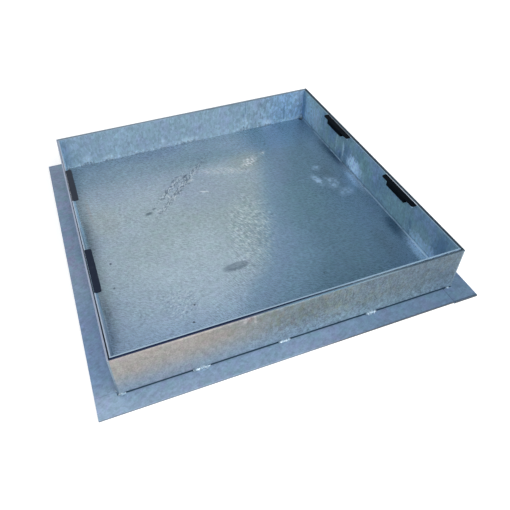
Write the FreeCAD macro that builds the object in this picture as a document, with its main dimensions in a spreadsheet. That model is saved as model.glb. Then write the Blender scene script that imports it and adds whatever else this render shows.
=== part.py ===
import FreeCAD, Part
import os

import Sketcher

# Recessed paving cover, in millimetres with +Z up. A galvanised tray takes the paving and rests loose
# in a welded frame, whose bedding flange is a ring of flat bar. The origin is the centre of the
# flange's footprint, on its underside.

DIMS = {
    # Frame walls: upright plates, the side ones full depth, the end ones between them
    "frame_wide": 635,
    "frame_deep": 635,
    "frame_tall": 100,
    "wall_sheet": 3,
    "corner_round": 1,
    "edge_round": 0.6,
    # Bedding flange: four flat bars laid in a pinwheel, which also reach in as the tray's ledge
    "bar_thick": 4,
    "side_bar_wide": 50,
    "end_bar_wide": 40,
    "flange_left": 37,
    "flange_right": 33,
    "flange_front": 33.5,
    "flange_back": 36,
    "left_bar_overrun": 8,
    "right_bar_overrun": 1.5,
    "seam_gap": 0.4,
    # Stitch welds along the foot of the walls, which hold the walls just off the bars
    "foot_gap": 2,
    "bead_leg": 4.5,
    "bead_end_share": 0.45,
    "stitch_long": 23,
    "corner_stitch_long": 14,
    "corner_stitch_inset": 0.3,
    "left_stitch_place": -174,
    "middle_stitch_place": -26,
    "right_stitch_place": 145,
    # Tray: a sheet folded up at both sides, its open ends closed by plates stitched on from below
    "gap_left": 1.2,
    "gap_right": 2.8,
    "gap_front": 2.5,
    "gap_back": 1.8,
    "tray_turn": 0.15,
    "tray_sheet": 2.5,
    "floor_tall": 20,
    "fold_round": 3,
    "vent_wide": 6,
    "end_skirt": 8,
    "tray_bead_leg": 3,
    "tray_stitch_long": 24,
    "tray_stitch_a": -262,
    "tray_stitch_b": -209,
    "tray_stitch_c": -135,
    "tray_stitch_d": -73,
    "tray_stitch_e": -2,
    "tray_stitch_f": 146,
    "tray_stitch_g": 210,
    # Stiffeners: folded channels under the tray, whose ends bear on the two side bars
    "stiffener_count": 5,
    "stiffener_wide": 40,
    "stiffener_sheet": 3,
    "stiffener_round": 2,
    "stiffener_short": 1.5,
    "stiffener_inset": 32,
    # Key plugs: moulded covers over the lifting slots, flush with the top of the tray and notched into it
    "plug_proud": 10.5,
    "plug_lap": 1.9,
    "plug_bar_long": 107.5,
    "plug_bar_thick": 2,
    "plug_body_long": 62,
    "plug_body_shift": 3,
    "plug_tall": 11.4,
    "plug_skin": 1.6,
    "plug_corner": 3.5,
    "plug_edge": 0.4,
    "plug_slip": 0.25,
    "slot_long": 56,
    "slot_tall": 4.5,
    "slot_drop": 5,
    "plug_left_back": 133,
    "plug_left_front": -123.5,
    "plug_right_back": 126.4,
    "plug_right_front": -129.6,
    # How far an outline runs past the sheet that it cuts through
    "cut_past": 1,
}

doc = FreeCAD.newDocument("recessed_paving_cover")
sheet = doc.addObject("Spreadsheet::Sheet", "dims")
for row, (alias, size) in enumerate(DIMS.items(), 1):
    sheet.set(f"A{row}", str(size))
    sheet.setAlias(f"A{row}", alias)
doc.recompute()

# Formulas over the sheet that more than one piece reads. The frame's own centre is the middle of its
# walls, and the tray's is the middle of the tray.
FRAME_X = "(dims.flange_left - dims.flange_right) / 2"
FRAME_Y = "(dims.flange_front + dims.right_bar_overrun - dims.flange_back - dims.left_bar_overrun) / 2"
WALL_X = "dims.frame_wide / 2"
WALL_Y = "dims.frame_deep / 2"
WALL_INNER_X = f"({WALL_X} - dims.wall_sheet)"
WALL_INNER_Y = f"({WALL_Y} - dims.wall_sheet)"
TRAY_X = "(dims.gap_left - dims.gap_right) / 2"
TRAY_Y = "(dims.gap_front - dims.gap_back) / 2"
TRAY_HALF_X = f"({WALL_INNER_X} - (dims.gap_left + dims.gap_right) / 2)"
TRAY_HALF_Y = f"({WALL_INNER_Y} - (dims.gap_front + dims.gap_back) / 2)"
TRAY_INNER_X = f"({TRAY_HALF_X} - dims.tray_sheet)"
TRAY_INNER_Y = f"({TRAY_HALF_Y} - dims.tray_sheet)"
TRAY_UNDERSIDE = "(dims.floor_tall - dims.tray_sheet)"
SLOT_TOP = "(dims.frame_tall - dims.slot_drop)"

NEAR = 1e-4
QUARTER_TURN = 90
RIGHT = FreeCAD.Vector(1, 0, 0)
FRONT = FreeCAD.Vector(0, -1, 0)
UP = FreeCAD.Vector(0, 0, 1)

subparts = []


def value(formula):
    """The number that a formula over the sheet gives."""
    return float(sheet.evalExpression(formula))


def same(a, b):
    """Whether two places are one, within rounding."""
    return abs(a - b) < NEAR


def bind(thing, formulas):
    """Binds properties of an object to formulas over the sheet."""
    for path, formula in formulas.items():
        thing.setExpression(path, formula)


def new_body(label):
    """A body that becomes one sub-part, named by its label."""
    body = doc.addObject("PartDesign::Body", label)
    body.Label = label
    subparts.append(body)
    return body


def origin_plane(body, role):
    """One of a body's own origin planes, found by its role."""
    for feature in body.Origin.OriginFeatures:
        if feature.Role == role:
            return feature
    raise ValueError(role)


def rectangles(body, name, role, offset, boxes):
    """A sketch of rectangles on an origin plane, each given as low and high formulas for its two ways."""
    sketch = body.newObject("Sketcher::SketchObject", f"{body.Name}_{name}")
    sketch.AttachmentSupport = [(origin_plane(body, role), "")]
    sketch.MapMode = "FlatFace"
    sketch.setExpression(".AttachmentOffset.Base.z", offset)
    for left, right, low, high in boxes:
        a, b, c, d = (value(side) for side in (left, right, low, high))
        corners = [FreeCAD.Vector(a, c), FreeCAD.Vector(b, c), FreeCAD.Vector(b, d), FreeCAD.Vector(a, d)]
        first = sketch.GeometryCount
        for i in range(4):
            sketch.addGeometry(Part.LineSegment(corners[i], corners[(i + 1) % 4]), False)
        for i in range(4):
            sketch.addConstraint(Sketcher.Constraint("Coincident", first + i, 2, first + (i + 1) % 4, 1))
            level = "Horizontal" if i % 2 == 0 else "Vertical"
            sketch.addConstraint(Sketcher.Constraint(level, first + i))
        for kind, point, formula, size in (("DistanceX", 0, left, a), ("DistanceX", 2, right, b),
                                           ("DistanceY", 0, low, c), ("DistanceY", 2, high, d)):
            held = sketch.addConstraint(Sketcher.Constraint(kind, -1, 1, first + point, 1, size))
            sketch.setExpression(f"Constraints[{held}]", formula)
    return sketch


def pad(body, name, offset, length, boxes):
    """A pad of rectangles drawn on the body's XY plane, raised by an offset."""
    feature = body.newObject("PartDesign::Pad", f"{body.Name}_{name}")
    feature.Profile = rectangles(body, f"{name}_sketch", "XY_Plane", offset, boxes)
    feature.setExpression("Length", length)
    doc.recompute()
    return feature


def pocket(body, name, role, offset, length, boxes, reverse=False):
    """A pocket of rectangles, which has to take something away."""
    before = body.Shape.Volume
    feature = body.newObject("PartDesign::Pocket", f"{body.Name}_{name}")
    feature.Profile = rectangles(body, f"{name}_sketch", role, offset, boxes)
    feature.Reversed = reverse
    feature.setExpression("Length", length)
    doc.recompute()
    if not body.Shape.Volume < before:
        raise RuntimeError(f"{feature.Name} cuts nothing")
    return feature


def soften(body, name, kind, size, chosen):
    """A fillet or chamfer on the edges of the body's tip whose end points pass a test."""
    tip = body.Tip
    names = []
    for number, edge in enumerate(tip.Shape.Edges, 1):
        if chosen([vertex.Point for vertex in edge.Vertexes]):
            names.append(f"Edge{number}")
    feature = body.newObject(f"PartDesign::{kind}", f"{body.Name}_{name}")
    feature.Base = (tip, names)
    feature.setExpression("Radius" if kind == "Fillet" else "Size", size)
    doc.recompute()
    return feature


def at_height(formula):
    """A test for edges at one height."""
    height = value(formula)
    return lambda points: all(same(point.z, height) for point in points)


def along_y(sides, z):
    """A test for the edges along Y at a height and at any of some distances either side of the middle."""
    places = [value(side) for side in sides]
    height = value(z)

    def passes(points):
        across = points[0].x
        straight = all(same(point.z, height) and same(point.x, across) for point in points)
        return straight and any(same(abs(across), place) for place in places)

    return passes


def along_x(lines, z):
    """A test for the edges along X at a height, on any of some lines."""
    places = [value(line) for line in lines]
    height = value(z)
    return lambda points: any(all(same(point.z, height) and same(point.y, place) for point in points)
                              for place in places)


def upright(x, lines):
    """A test for the upright edges at a distance along X, on any of some lines."""
    side = value(x)
    places = [value(line) for line in lines]
    return lambda points: any(all(same(point.x, side) and same(point.y, place) for point in points)
                              for place in places)


def place_in_frame(thing, turn=0):
    """Puts a piece drawn about the frame's own centre into the part."""
    thing.Placement = FreeCAD.Placement(FreeCAD.Vector(), FreeCAD.Rotation(UP, turn))
    bind(thing, {".Placement.Base.x": FRAME_X, ".Placement.Base.y": FRAME_Y})


def place_in_tray(thing, turn=0):
    """Puts a piece drawn about the tray's centre into the part, with the tray's slight turn."""
    thing.Placement = FreeCAD.Placement(FreeCAD.Vector(), FreeCAD.Rotation(UP, turn))
    bind(thing, {
        ".Placement.Base.x": f"{FRAME_X} + {TRAY_X}",
        ".Placement.Base.y": f"{FRAME_Y} + {TRAY_Y}",
        ".Placement.Rotation.Angle": f"(dims.tray_turn + {turn}) * 1deg",
    })


def flange_bar(label, left, right, front, back):
    """A flat bar of the bedding flange, with its upper edges eased."""
    body = new_body(label)
    pad(body, "bar", "0", "dims.bar_thick", [(left, right, front, back)])
    soften(body, "edges", "Fillet", "dims.edge_round", at_height("dims.bar_thick"))
    place_in_frame(body)


def flange():
    """The four bars, each butted against the side of the next, as they show at the seams."""
    left = f"-{WALL_X} - dims.flange_left"
    right = f"{WALL_X} + dims.flange_right"
    front = f"-{WALL_Y} - dims.flange_front"
    back = f"{WALL_Y} + dims.flange_back"
    left_inner = f"{left} + dims.side_bar_wide"
    right_inner = f"{right} - dims.side_bar_wide"
    front_inner = f"{front} + dims.end_bar_wide"
    back_inner = f"{back} - dims.end_bar_wide"
    flange_bar("flange_bar_front", left, f"{right_inner} - dims.seam_gap", front, front_inner)
    flange_bar("flange_bar_right", right_inner, right, f"{front} - dims.right_bar_overrun",
               f"{back_inner} - dims.seam_gap")
    flange_bar("flange_bar_back", f"{left_inner} + dims.seam_gap", right, back_inner, back)
    flange_bar("flange_bar_left", left, left_inner, f"{front_inner} + dims.seam_gap",
               f"{back} + dims.left_bar_overrun")


def frame_wall(label, left, right, front, back):
    """An upright plate of the frame, just off the bars."""
    body = new_body(label)
    foot = "dims.bar_thick + dims.foot_gap"
    pad(body, "plate", foot, f"dims.frame_tall - ({foot})", [(left, right, front, back)])
    place_in_frame(body)
    return body


def frame_walls():
    """The side plates, whose ends show at the corners, and the end plates between them."""
    for side, near, far in (("left", f"-{WALL_X}", f"-{WALL_INNER_X}"), ("right", WALL_X, WALL_INNER_X)):
        low, high = sorted((near, far), key=value)
        body = frame_wall(f"frame_wall_{side}", low, high, f"-{WALL_Y}", WALL_Y)
        soften(body, "corners", "Fillet", "dims.corner_round", upright(near, [f"-{WALL_Y}", WALL_Y]))
        soften(body, "edges", "Fillet", "dims.edge_round", at_height("dims.frame_tall"))
    for side, near, far in (("front", f"-{WALL_Y}", f"-{WALL_INNER_Y}"), ("back", WALL_Y, WALL_INNER_Y)):
        low, high = sorted((near, far), key=value)
        body = frame_wall(f"frame_wall_{side}", f"-{WALL_INNER_X}", WALL_INNER_X, low, high)
        soften(body, "edges", "Fillet", "dims.edge_round", along_x([near, far], "dims.frame_tall"))


def bead(name, centre, long, leg, line, height, facing):
    """A fillet bead along X with its corner on a line: a quarter round that tapers at both ends."""
    start = f"{centre} - {long} / 2"
    stop = f"{centre} + {long} / 2"
    thin = f"{leg} * dims.bead_end_share"
    pieces = [
        ("start", "Cone", start, {"Height": leg, "Radius1": thin, "Radius2": leg}),
        ("run", "Cylinder", f"{start} + {leg}", {"Height": f"{long} - 2 * {leg}", "Radius": leg}),
        ("stop", "Cone", f"{stop} - {leg}", {"Height": leg, "Radius1": leg, "Radius2": thin}),
    ]
    solids = []
    for word, kind, place, sizes in pieces:
        solid = doc.addObject(f"Part::{kind}", f"{name}_{word}")
        solid.Angle = QUARTER_TURN
        solid.Placement = FreeCAD.Placement(FreeCAD.Vector(), facing)
        bind(solid, sizes)
        bind(solid, {".Placement.Base.x": place, ".Placement.Base.y": line, ".Placement.Base.z": height})
        solids.append(solid)
    return solids


def fuse(name, solids):
    """Several solids as one."""
    whole = doc.addObject("Part::MultiFuse", name)
    whole.Shapes = solids
    whole.Refine = True
    return whole


def weld_group(label, beads):
    """The beads of one seam as one sub-part."""
    group = doc.addObject("Part::Compound", label)
    group.Label = label
    group.Links = beads
    subparts.append(group)
    return group


def foot_welds():
    """The stitches along the outer foot of each wall, with a root that fills the gap under the plate."""
    facing = FreeCAD.Rotation(UP, FRONT, RIGHT, "XYZ")
    for side, turn, line, end in (("front", 0, WALL_Y, WALL_X), ("right", 90, WALL_X, WALL_Y),
                                  ("back", 180, WALL_Y, WALL_X), ("left", 270, WALL_X, WALL_Y)):
        corner = f"({end} - dims.corner_stitch_inset - dims.corner_stitch_long / 2)"
        runs = [(f"-{corner}", "dims.corner_stitch_long")]
        runs += [(f"dims.{word}_stitch_place", "dims.stitch_long") for word in ("left", "middle", "right")]
        runs += [(corner, "dims.corner_stitch_long")]
        beads = []
        for number, (centre, long) in enumerate(runs, 1):
            name = f"foot_{side}_{number}"
            solids = bead(name, centre, long, "dims.bead_leg", f"-{line}", "dims.bar_thick", facing)
            root = doc.addObject("Part::Box", f"{name}_root")
            bind(root, {
                "Length": f"{long} - 2 * dims.bead_leg",
                "Width": "dims.wall_sheet",
                "Height": "dims.foot_gap",
                ".Placement.Base.x": f"{centre} - {long} / 2 + dims.bead_leg",
                ".Placement.Base.y": f"-{line}",
                ".Placement.Base.z": "dims.bar_thick",
            })
            beads.append(fuse(name, solids + [root]))
        place_in_frame(weld_group(f"foot_weld_{side}", beads), turn)


def slot_middle(side, end):
    """The middle of a lifting slot, a little off the middle of its plug's bar."""
    return f"(dims.plug_{side}_{end} {'+' if side == 'right' else '-'} dims.plug_body_shift)"


def tray_pan():
    """The folded sheet: floor and two sides, vented at the corners, slotted and notched for the plugs."""
    body = new_body("tray_pan")
    pad(body, "block", TRAY_UNDERSIDE, f"dims.frame_tall - {TRAY_UNDERSIDE}",
        [(f"-{TRAY_HALF_X}", TRAY_HALF_X, f"-{TRAY_INNER_Y}", TRAY_INNER_Y)])
    past_end = f"({TRAY_INNER_Y} + dims.cut_past)"
    pocket(body, "recess", "XY_Plane", "dims.frame_tall", "dims.frame_tall - dims.floor_tall",
           [(f"-{TRAY_INNER_X}", TRAY_INNER_X, f"-{past_end}", past_end)])
    soften(body, "inner_folds", "Fillet", "dims.fold_round", along_y([TRAY_INNER_X], "dims.floor_tall"))
    soften(body, "outer_folds", "Fillet", "dims.fold_round + dims.tray_sheet",
           along_y([TRAY_HALF_X], TRAY_UNDERSIDE))
    past_side = f"({TRAY_HALF_X} + dims.cut_past)"
    vent_side = f"({TRAY_INNER_X} - dims.vent_wide)"
    vent_end = f"({TRAY_INNER_Y} - dims.vent_wide)"
    pocket(body, "vents", "XY_Plane", "dims.floor_tall + dims.fold_round",
           "dims.fold_round + dims.tray_sheet + dims.cut_past",
           [(left, right, front, back)
            for left, right in ((f"-{past_side}", f"-{vent_side}"), (vent_side, past_side))
            for front, back in ((f"-{past_end}", f"-{vent_end}"), (vent_end, past_end))])
    for side, sign in (("left", "-"), ("right", "")):
        slots = [(f"{slot_middle(side, end)} - dims.slot_long / 2", f"{slot_middle(side, end)} + dims.slot_long / 2",
                  f"{SLOT_TOP} - dims.slot_tall", SLOT_TOP) for end in ("front", "back")]
        pocket(body, f"{side}_slots", "YZ_Plane", f"{sign}({TRAY_INNER_X} - dims.cut_past)",
               "dims.tray_sheet + 2 * dims.cut_past", slots, reverse=side == "right")
    soften(body, "edges", "Fillet", "dims.edge_round", along_y([TRAY_INNER_X, TRAY_HALF_X], "dims.frame_tall"))
    notch_half = "(dims.plug_bar_long / 2 + dims.plug_slip)"
    for side, sign in (("left", "-"), ("right", "")):
        notches = [(f"dims.plug_{side}_{end} - {notch_half}", f"dims.plug_{side}_{end} + {notch_half}",
                    "dims.frame_tall - dims.plug_bar_thick", "dims.frame_tall + dims.cut_past")
                   for end in ("front", "back")]
        pocket(body, f"{side}_notches", "YZ_Plane", f"{sign}({TRAY_INNER_X} - dims.cut_past)",
               "dims.tray_sheet + 2 * dims.cut_past", notches, reverse=side == "right")
    place_in_tray(body)


def tray_end(side, inner, outer):
    """A plate over the pan's open end, which reaches below the floor and is cropped at its lower corners."""
    body = new_body(f"tray_end_{side}")
    foot = f"({TRAY_UNDERSIDE} - dims.end_skirt)"
    low, high = sorted((inner, outer), key=value)
    pad(body, "plate", foot, f"dims.frame_tall - {foot}", [(f"-{TRAY_HALF_X}", TRAY_HALF_X, low, high)])
    soften(body, "crops", "Chamfer", "dims.end_skirt", along_y([TRAY_HALF_X], foot))
    soften(body, "edges", "Fillet", "dims.edge_round", along_x([inner, outer], "dims.frame_tall"))
    place_in_tray(body)


def tray_welds():
    """The stitches under the floor, where it meets each end plate, drawn for the back and turned."""
    facing = FreeCAD.Rotation(FRONT, -UP, RIGHT, "XYZ")
    for side, turn in (("back", 0), ("front", 180)):
        beads = []
        for letter in "abcdefg":
            name = f"tray_{side}_{letter}"
            solids = bead(name, f"dims.tray_stitch_{letter}", "dims.tray_stitch_long", "dims.tray_bead_leg",
                          TRAY_INNER_Y, TRAY_UNDERSIDE, facing)
            beads.append(fuse(name, solids))
        place_in_tray(weld_group(f"tray_weld_{side}", beads), turn)


def stiffeners():
    """The channels under the tray, legs up against the floor and ends on the frame's side bars."""
    half = f"({TRAY_HALF_X} - dims.stiffener_short)"
    past_end = f"({half} + dims.cut_past)"
    tall = f"({TRAY_UNDERSIDE} - dims.bar_thick)"
    first = f"({TRAY_HALF_Y} - dims.stiffener_inset)"
    for number in range(round(value("dims.stiffener_count"))):
        body = new_body(f"stiffener_{number + 1}")
        middle = f"({first} * ({2 * number} / (dims.stiffener_count - 1) - 1))"
        front = f"{middle} - dims.stiffener_wide / 2"
        back = f"{middle} + dims.stiffener_wide / 2"
        inner_front = f"{front} + dims.stiffener_sheet"
        inner_back = f"{back} - dims.stiffener_sheet"
        pad(body, "block", "dims.bar_thick", tall, [(f"-{half}", half, front, back)])
        pocket(body, "hollow", "XY_Plane", TRAY_UNDERSIDE, f"{tall} - dims.stiffener_sheet",
               [(f"-{past_end}", past_end, inner_front, inner_back)])
        soften(body, "inner_folds", "Fillet", "dims.stiffener_round",
               along_x([inner_front, inner_back], "dims.bar_thick + dims.stiffener_sheet"))
        soften(body, "outer_folds", "Fillet", "dims.stiffener_round + dims.stiffener_sheet",
               along_x([front, back], "dims.bar_thick"))
        place_in_tray(body)


def key_plug(side, end):
    """A T-shaped moulding: a bar let into the tray's edge, a hollow body under it and a tongue in the slot."""
    body = new_body(f"key_plug_{side}_{end}")
    middle = f"dims.plug_{side}_{end}"
    free_face = f"({TRAY_INNER_X} - dims.plug_proud)"
    foot = "dims.frame_tall - dims.plug_tall"
    body_half = "dims.plug_body_long / 2"
    bar_half = "dims.plug_bar_long / 2"

    def box(near, far, half, centre=slot_middle(side, end)):
        """A rectangle between two distances from the tray's middle, on the plug's own side."""
        low, high = (near, far) if side == "right" else (f"-({far})", f"-({near})")
        return (low, high, f"{centre} - {half}", f"{centre} + {half}")

    pad(body, "body", foot, "dims.plug_tall", [box(free_face, TRAY_INNER_X, body_half)])
    pad(body, "bar", "dims.frame_tall - dims.plug_bar_thick", "dims.plug_bar_thick",
        [box(free_face, f"({TRAY_INNER_X} + dims.plug_lap)", bar_half, middle)])
    free_side = free_face if side == "right" else f"-{free_face}"
    soften(body, "corners", "Fillet", "dims.plug_corner",
           upright(free_side, [f"{middle} - {bar_half}", f"{middle} + {bar_half}"]))
    soften(body, "edge", "Fillet", "dims.plug_edge", at_height("dims.frame_tall"))
    pocket(body, "hollow", "XY_Plane", foot, "dims.plug_tall - dims.plug_bar_thick - dims.plug_skin",
           [box(f"{free_face} + dims.plug_skin", f"{TRAY_INNER_X} - dims.plug_skin",
                f"({body_half} - dims.plug_skin)")], reverse=True)
    pad(body, "tongue", f"{SLOT_TOP} - dims.slot_tall + dims.plug_slip", "dims.slot_tall - 2 * dims.plug_slip",
        [box(TRAY_INNER_X, TRAY_HALF_X, "(dims.slot_long / 2 - dims.plug_slip)")])
    place_in_tray(body)


def check_objects():
    """Stops if any object failed or any sub-part isn't a sound solid."""
    for thing in doc.Objects:
        if "Invalid" in thing.State or "Error" in thing.State:
            raise RuntimeError(f"{thing.Label}: {thing.State}")
    for thing in subparts:
        if thing.Shape.isNull() or not thing.Shape.isValid() or not thing.Shape.Solids:
            raise RuntimeError(f"{thing.Label}: unsound shape")


flange()
frame_walls()
foot_welds()
tray_pan()
tray_end("front", f"-{TRAY_INNER_Y}", f"-{TRAY_HALF_Y}")
tray_end("back", TRAY_INNER_Y, TRAY_HALF_Y)
tray_welds()
stiffeners()
for plug_side in ("left", "right"):
    for plug_end in ("front", "back"):
        key_plug(plug_side, plug_end)

doc.recompute()
check_objects()
os.makedirs("parts", exist_ok=True)
for thing in subparts:
    thing.Shape.exportStep(f"parts/{thing.Label}.step")
    print(thing.Label, len(thing.Shape.Solids), "solids", round(thing.Shape.Volume), "mm3")
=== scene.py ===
import math
import random

import bpy
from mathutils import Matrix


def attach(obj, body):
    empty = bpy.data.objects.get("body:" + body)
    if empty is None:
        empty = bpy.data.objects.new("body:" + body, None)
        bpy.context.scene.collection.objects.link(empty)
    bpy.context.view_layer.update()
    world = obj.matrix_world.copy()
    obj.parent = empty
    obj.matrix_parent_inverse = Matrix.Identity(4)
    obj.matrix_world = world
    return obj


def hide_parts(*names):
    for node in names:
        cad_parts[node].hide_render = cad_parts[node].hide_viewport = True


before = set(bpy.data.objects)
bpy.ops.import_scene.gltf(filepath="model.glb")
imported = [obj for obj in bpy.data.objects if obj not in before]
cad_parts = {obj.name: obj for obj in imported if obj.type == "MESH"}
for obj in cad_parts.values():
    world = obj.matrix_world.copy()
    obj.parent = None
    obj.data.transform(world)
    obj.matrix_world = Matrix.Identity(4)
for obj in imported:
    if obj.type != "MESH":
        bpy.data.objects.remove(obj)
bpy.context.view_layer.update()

# The bedding flange. Four flat bars, 4 mm thick, sawn square and laid in a pinwheel round the frame, then
# dipped in zinc with it: a dull blue-grey skin, clouded, with grey freckles and a faint brushed grain.


def colour(red, green, blue):
    """A colour as it looks on screen, 0 to 255 a channel, as the linear values that a shader takes."""
    shares = [channel / 255 for channel in (red, green, blue)]
    linear = [s / 12.92 if s <= 0.04045 else ((s + 0.055) / 1.055) ** 2.4 for s in shares]
    return (*linear, 1.0)


class Wire:
    """An output of a finish's nodes. A sum written with wires adds its Math nodes."""

    def __init__(self, finish, socket):
        self.finish = finish
        self.socket = socket

    def math(self, operation, *others):
        values = dict(enumerate((self, *others)))
        return self.finish.node("ShaderNodeMath", {"operation": operation}, values)

    def __add__(self, other):
        return self.math("ADD", other)

    def __radd__(self, other):
        return self.math("ADD", other)

    def __sub__(self, other):
        return self.math("SUBTRACT", other)

    def __rsub__(self, other):
        return self.finish.node("ShaderNodeMath", {"operation": "SUBTRACT"}, {0: other, 1: self})

    def __mul__(self, other):
        return self.math("MULTIPLY", other)

    def __rmul__(self, other):
        return self.math("MULTIPLY", other)

    def __truediv__(self, other):
        return self.math("DIVIDE", other)

    def __rtruediv__(self, other):
        return self.finish.node("ShaderNodeMath", {"operation": "DIVIDE"}, {0: other, 1: self})

    def __pow__(self, other):
        return self.math("POWER", other)

    def __abs__(self):
        return self.math("ABSOLUTE")

    def least(self, other):
        return self.math("MINIMUM", other)

    def most(self, other):
        return self.math("MAXIMUM", other)

    def rise(self, low, high):
        """0 below low, 1 above high, and a smooth step between; falls where low is the larger."""
        values = {"Value": self, "From Min": low, "From Max": high}
        if low > high:
            values = {"Value": self, "From Min": high, "From Max": low, "To Min": 1.0, "To Max": 0.0}
        return self.finish.node("ShaderNodeMapRange", {"interpolation_type": "SMOOTHSTEP"}, values)


class Finish:
    """A material, with one way to add nodes and the few patterns that all its zinc shares."""

    def __init__(self, name):
        self.material = bpy.data.materials.new(name)
        self.material.use_nodes = True
        self.tree = self.material.node_tree
        self.shader = self.tree.nodes["Principled BSDF"]
        self.place = self.node("ShaderNodeTexCoord", {}, {}, "Object")
        self.x, self.y, self.z = self.split(self.place)

    def node(self, kind, settings, values, output=0):
        """Adds a node, sets it up, gives its inputs their values or wires, and returns one output."""
        node = self.tree.nodes.new(kind)
        for name, setting in settings.items():
            if name == "stops":
                stops = node.color_ramp.elements
                stops.remove(stops[1])
                for number, (position, shade) in enumerate(setting):
                    stop = stops[0] if number == 0 else stops.new(position)
                    stop.position = position
                    stop.color = shade
            else:
                setattr(node, name, setting)
        self.feed(node.inputs, values)
        return Wire(self, node.outputs[output])

    def feed(self, inputs, values):
        """Gives a node's inputs their values or wires."""
        for name, value in values.items():
            if isinstance(value, Wire):
                self.tree.links.new(value.socket, inputs[name])
            else:
                inputs[name].default_value = value

    def split(self, place):
        """The three coordinates of a place."""
        return [self.node("ShaderNodeSeparateXYZ", {}, {0: place}, number) for number in range(3)]

    def blend(self, under, over, share):
        """One colour laid over another by a share."""
        return self.node("ShaderNodeMix", {"data_type": "RGBA"}, {0: share, 6: under, 7: over}, 2)

    def tint(self, paint, shade, share):
        """A colour multiplied by a shade, as far as a share says."""
        settings = {"data_type": "RGBA", "blend_type": "MULTIPLY"}
        return self.node("ShaderNodeMix", settings, {0: share, 6: paint, 7: shade}, 2)

    def tone(self, paint, gain):
        """A colour made lighter or darker by a wire, 1 leaving it as it is."""
        return self.tint(paint, self.node("ShaderNodeCombineColor", {}, {0: gain, 1: gain, 2: gain}), 1.0)

    def mottle(self, paint, size, seed, share):
        """Drifts of greener and of more violet zinc, as its thinner and thicker layers show."""
        greener, more_violet = (0.88, 1.03, 0.93, 1), (1.05, 0.93, 1.06, 1)
        thin = self.cloud(size, seed, detail=3.0).rise(0.45, 0.72) * share
        thick = self.cloud(size * 0.8, seed + 0.5, detail=3.0).rise(0.45, 0.72) * share
        return self.tint(self.tint(paint, greener, thin), more_violet, thick)

    def cloud(self, size, seed, stretch=(1, 1, 1), turn=0.0, detail=2.0, rough=0.5):
        """A noise from 0 to 1 of a grain size in metres, longer along an axis where stretch is over 1."""
        scale = [1 / (size * s) for s in stretch]
        values = {"Vector": self.place, "Location": (seed * 7.3, seed * 3.1, seed * 5.7),
                  "Rotation": (0, 0, math.radians(-turn)), "Scale": (1, 1, 1)}
        turned = self.node("ShaderNodeMapping", {"vector_type": "POINT"}, values)
        spread = self.node("ShaderNodeVectorMath", {"operation": "MULTIPLY"}, {0: turned, 1: scale})
        values = {"Vector": spread, "Scale": 1.0, "Detail": detail, "Roughness": rough}
        return self.node("ShaderNodeTexNoise", {"noise_dimensions": "3D"}, values)

    def spangle(self, size, seed, stretch=(1, 1, 1)):
        """A grey from 0 to 1 that changes from one zinc crystal to the next."""
        scale = [1 / (size * s) for s in stretch]
        wander = (self.cloud(size * 0.8, seed + 1) - 0.5) * size
        push = self.node("ShaderNodeCombineXYZ", {}, {0: wander * 0.9, 1: wander * -0.7, 2: wander})
        moved = self.node("ShaderNodeVectorMath", {"operation": "ADD"}, {0: self.place, 1: push})
        spread = self.node("ShaderNodeVectorMath", {"operation": "MULTIPLY"}, {0: moved, 1: scale})
        values = {"Vector": spread, "Scale": 1.0}
        cells = self.node("ShaderNodeTexVoronoi", {"feature": "F1"}, values, "Color")
        return self.node("ShaderNodeSeparateColor", {}, {0: cells}, 0)

    def follow(self, along, points):
        """A height that runs straight from each point (along, height) to the next."""
        low, high = points[0][0], points[-1][0]
        bottom = min(height for _, height in points)
        top = max(height for _, height in points)
        stops = [((a - low) / (high - low), (*([(h - bottom) / (top - bottom)] * 3), 1.0)) for a, h in points]
        share = self.node("ShaderNodeValToRGB", {"stops": stops}, {0: (along - low) / (high - low)})
        return share * (top - bottom) + bottom

    def patch(self, across, along, centre, size, turn, soft, rag):
        """1 inside an ellipse on the plane of two wires and 0 outside, its rim softened and made ragged."""
        c, s = math.cos(math.radians(turn)), math.sin(math.radians(turn))
        u = (across - centre[0]) * (c / size[0]) + (along - centre[1]) * (s / size[0])
        v = (along - centre[1]) * (c / size[1]) - (across - centre[0]) * (s / size[1])
        return ((u * u + v * v) ** 0.5 + rag).rise(1 + soft, 1 - soft)

    def marks(self, across, along, soft, rag, patches, under=None):
        """The strongest of many patches, (centre, size, turn, share) each, and of a mask under them."""
        for centre, size, turn, share in patches:
            mark = self.patch(across, along, centre, size, turn, soft, rag) * share
            under = mark if under is None else under.most(mark)
        return under

    def done(self, paint, rough, height, metal, depth):
        """Sends colour, roughness, metal and a relief of this depth to the shader; returns the material."""
        bump = self.node("ShaderNodeBump", {}, {"Strength": 0.6, "Distance": depth, "Height": height})
        values = {"Base Color": paint, "Roughness": rough, "Metallic": metal, "Normal": bump}
        self.feed(self.shader.inputs, values)
        return self.material


def dress(names, material):
    """Gives the solids of these names their finish."""
    for name in names:
        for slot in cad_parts[name].material_slots:
            slot.material = material


# The frame's middle, half its width over the walls, and the thickness of the bars that it stands on.
frame_centre = (0.002, -0.0045)
frame_half = 0.3175
bar_thick = 0.004


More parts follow.
